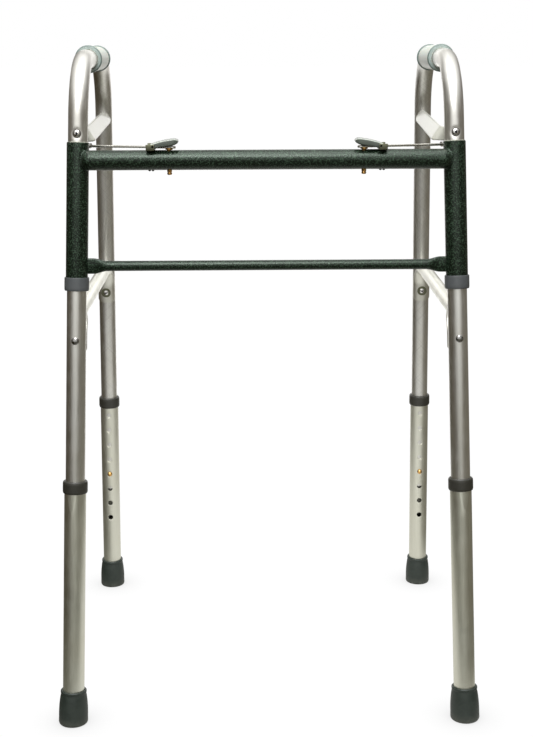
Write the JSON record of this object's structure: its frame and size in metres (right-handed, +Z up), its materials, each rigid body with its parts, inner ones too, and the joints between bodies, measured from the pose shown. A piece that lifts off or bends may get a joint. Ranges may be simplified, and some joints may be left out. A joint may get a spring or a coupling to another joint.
{
  "type": "folding walking frame",
  "caption": "Folding walking frame with hinged tubular sides, vinyl grips, release paddles on a painted crossbar, and telescoping legs with snap buttons and rubber tips.",
  "frame": {"origin": "on the floor, at the centre of the bounding box: midway between the left and right sides and midway between front and rear tips", "axes": "+Z up; +Y from the crossbar towards the open rear side where the user stands; +X to the right seen from the front, so the side named right is at +X"},
  "size_m": [0.5692, 0.4947, 0.889],
  "materials": {
    "bracket_steel": "dull olive passivated",
    "brass": "turned and polished",
    "champagne_aluminium": "satin anodised with a warm champagne tone",
    "cream_brace": "pale cream satin coat",
    "dark_steel": "blackened",
    "green_hammer_paint": "dark green hammer-finish paint, semi-gloss",
    "grey_plastic": "moulded mid grey",
    "grip_vinyl": "soft dipped vinyl, pale grey-green",
    "pale_plastic": "moulded pale grey-green",
    "satin_aluminium": "satin anodised, drawn tube",
    "tip_rubber": "moulded dark grey-green",
    "zinc_steel": "bright zinc plated"
  },
  "bodies": {
    "front_frame": {"bracket_rivet_left": "dark_steel", "bracket_rivet_right": "dark_steel", "crossbar": "green_hammer_paint", "latch_bracket_left": "bracket_steel", "latch_bracket_right": "bracket_steel", "lower_bar": "green_hammer_paint", "plunger_spring_left": "zinc_steel", "plunger_spring_right": "zinc_steel", "sleeve_collar_left": "grey_plastic", "sleeve_collar_right": "grey_plastic", "sleeve_left": "green_hammer_paint", "sleeve_right": "green_hammer_paint"},
    "side_left": {"button_spring_front_left": "zinc_steel", "button_spring_rear_left": "zinc_steel", "grip_left": "grip_vinyl", "lower_brace_left": "cream_brace", "lower_rivet_left": "zinc_steel", "rear_bolt_left": "zinc_steel", "rear_rivet_left": "zinc_steel", "side_tube_left": "satin_aluminium", "upper_brace_left": "cream_brace", "upper_screw_left": "zinc_steel"},
    "leg_front_left": {"leg_tube_front_left": "champagne_aluminium", "leg_collar_front_left": "grey_plastic", "tip_front_left": "tip_rubber"},
    "button_front_left": {"button_front_left": "brass"},
    "leg_rear_left": {"leg_tube_rear_left": "champagne_aluminium", "leg_collar_rear_left": "grey_plastic", "tip_rear_left": "tip_rubber"},
    "button_rear_left": {"button_rear_left": "brass"},
    "paddle_left": {"paddle_left": "pale_plastic"},
    "plunger_left": {"plunger_left": "brass"},
    "link_swivel_left": {"link_guide_left": "brass"},
    "link_left": {"link_left": "zinc_steel", "link_stud_left": "zinc_steel"},
    "side_right": {"button_spring_front_right": "zinc_steel", "button_spring_rear_right": "zinc_steel", "grip_right": "grip_vinyl", "lower_brace_right": "cream_brace", "lower_rivet_right": "zinc_steel", "rear_bolt_right": "zinc_steel", "rear_rivet_right": "zinc_steel", "side_tube_right": "satin_aluminium", "upper_brace_right": "cream_brace", "upper_screw_right": "zinc_steel"},
    "leg_front_right": {"leg_tube_front_right": "champagne_aluminium", "leg_collar_front_right": "grey_plastic", "tip_front_right": "tip_rubber"},
    "button_front_right": {"button_front_right": "brass"},
    "leg_rear_right": {"leg_tube_rear_right": "champagne_aluminium", "leg_collar_rear_right": "grey_plastic", "tip_rear_right": "tip_rubber"},
    "button_rear_right": {"button_rear_right": "brass"},
    "paddle_right": {"paddle_right": "pale_plastic"},
    "plunger_right": {"plunger_right": "brass"},
    "link_swivel_right": {"link_guide_right": "brass"},
    "link_right": {"link_right": "zinc_steel", "link_stud_right": "zinc_steel"}
  },
  "joints": [
    {"name": "fold_left", "type": "hinge", "parent": "front_frame", "child": "side_left", "pos_m": [-0.24167, -0.14544, 0.746], "axis": [-0.0308, -0.1093, -0.9935], "range_deg": [0, 84]},
    {"name": "leg_slide_front_left", "type": "slide", "parent": "side_left", "child": "leg_front_left", "axis": [-0.0308, -0.1093, -0.9935], "range_m": [-0.0762, 0.1016], "deforming": ["button_front_left", "button_spring_front_left"]},
    {"name": "button_press_front_left", "type": "slide", "parent": "side_left", "child": "button_front_left", "axis": [0.0034, -0.994, 0.1092], "range_m": [0, 0.0042], "stiffness_N_per_m": 1500, "springref_m": -0.003, "deforming": ["button_spring_front_left"]},
    {"name": "leg_slide_rear_left", "type": "slide", "parent": "side_left", "child": "leg_rear_left", "axis": [-0.0172, 0.035, -0.9992], "range_m": [-0.0762, 0.1016], "deforming": ["button_rear_left", "button_spring_rear_left"]},
    {"name": "button_press_rear_left", "type": "slide", "parent": "side_left", "child": "button_rear_left", "axis": [0.0006, 0.9994, 0.035], "range_m": [0, 0.0042], "stiffness_N_per_m": 1500, "springref_m": -0.003, "deforming": ["button_spring_rear_left"]},
    {"name": "paddle_press_left", "type": "hinge", "parent": "front_frame", "child": "paddle_left", "pos_m": [-0.144, -0.15844, 0.7637], "axis": [0, 1, 0], "range_deg": [0, 8.5], "stiffness_Nm_per_rad": 0.5, "springref_deg": -8.59},
    {"name": "plunger_slide_left", "type": "slide", "parent": "front_frame", "child": "plunger_left", "axis": [0, 0, -1], "range_m": [0, 0.003], "deforming": ["plunger_spring_left"]},
    {"name": "link_turn_left", "type": "hinge", "parent": "front_frame", "child": "link_swivel_left", "pos_m": [-0.1238, -0.15844, 0.7628], "axis": [0.0308, 0.1093, 0.9935], "range_deg": [0, 13.3]},
    {"name": "link_draw_left", "type": "slide", "parent": "link_swivel_left", "child": "link_left", "axis": [0.9371, -0.3489, 0.0093], "range_m": [0, 0.0298]},
    {"name": "fold_right", "type": "hinge", "parent": "front_frame", "child": "side_right", "pos_m": [0.24167, -0.14544, 0.746], "axis": [-0.0308, 0.1093, 0.9935], "range_deg": [0, 60]},
    {"name": "leg_slide_front_right", "type": "slide", "parent": "side_right", "child": "leg_front_right", "axis": [0.0308, -0.1093, -0.9935], "range_m": [-0.0762, 0.1016], "deforming": ["button_front_right", "button_spring_front_right"]},
    {"name": "button_press_front_right", "type": "slide", "parent": "side_right", "child": "button_front_right", "axis": [-0.0034, -0.994, 0.1092], "range_m": [0, 0.0042], "stiffness_N_per_m": 1500, "springref_m": -0.003, "deforming": ["button_spring_front_right"]},
    {"name": "leg_slide_rear_right", "type": "slide", "parent": "side_right", "child": "leg_rear_right", "axis": [0.0172, 0.035, -0.9992], "range_m": [-0.0762, 0.1016], "deforming": ["button_rear_right", "button_spring_rear_right"]},
    {"name": "button_press_rear_right", "type": "slide", "parent": "side_right", "child": "button_rear_right", "axis": [-0.0006, 0.9994, 0.035], "range_m": [0, 0.0042], "stiffness_N_per_m": 1500, "springref_m": -0.003, "deforming": ["button_spring_rear_right"]},
    {"name": "paddle_press_right", "type": "hinge", "parent": "front_frame", "child": "paddle_right", "pos_m": [0.144, -0.15844, 0.7637], "axis": [0, -1, 0], "range_deg": [0, 8.5], "stiffness_Nm_per_rad": 0.5, "springref_deg": -8.59},
    {"name": "plunger_slide_right", "type": "slide", "parent": "front_frame", "child": "plunger_right", "axis": [0, 0, -1], "range_m": [0, 0.003], "deforming": ["plunger_spring_right"]},
    {"name": "link_turn_right", "type": "hinge", "parent": "front_frame", "child": "link_swivel_right", "pos_m": [0.1238, -0.15844, 0.7628], "axis": [0.0308, -0.1093, -0.9935], "range_deg": [0, 7.22]},
    {"name": "link_draw_right", "type": "slide", "parent": "link_swivel_right", "child": "link_right", "axis": [-0.9371, -0.3489, 0.0093], "range_m": [0, 0.0246]}
  ],
  "couplings": [
    {"joint": "plunger_slide_left", "follows": "paddle_press_left", "m_per_rad": 0.019548},
    {"joint": "link_turn_left", "follows": "fold_left", "ratio": 0.15778},
    {"joint": "link_draw_left", "follows": "fold_left", "m_per_rad": 0.020292},
    {"joint": "plunger_slide_right", "follows": "paddle_press_right", "m_per_rad": 0.019548},
    {"joint": "link_turn_right", "follows": "fold_right", "ratio": 0.11942},
    {"joint": "link_draw_right", "follows": "fold_right", "m_per_rad": 0.023365}
  ]
}
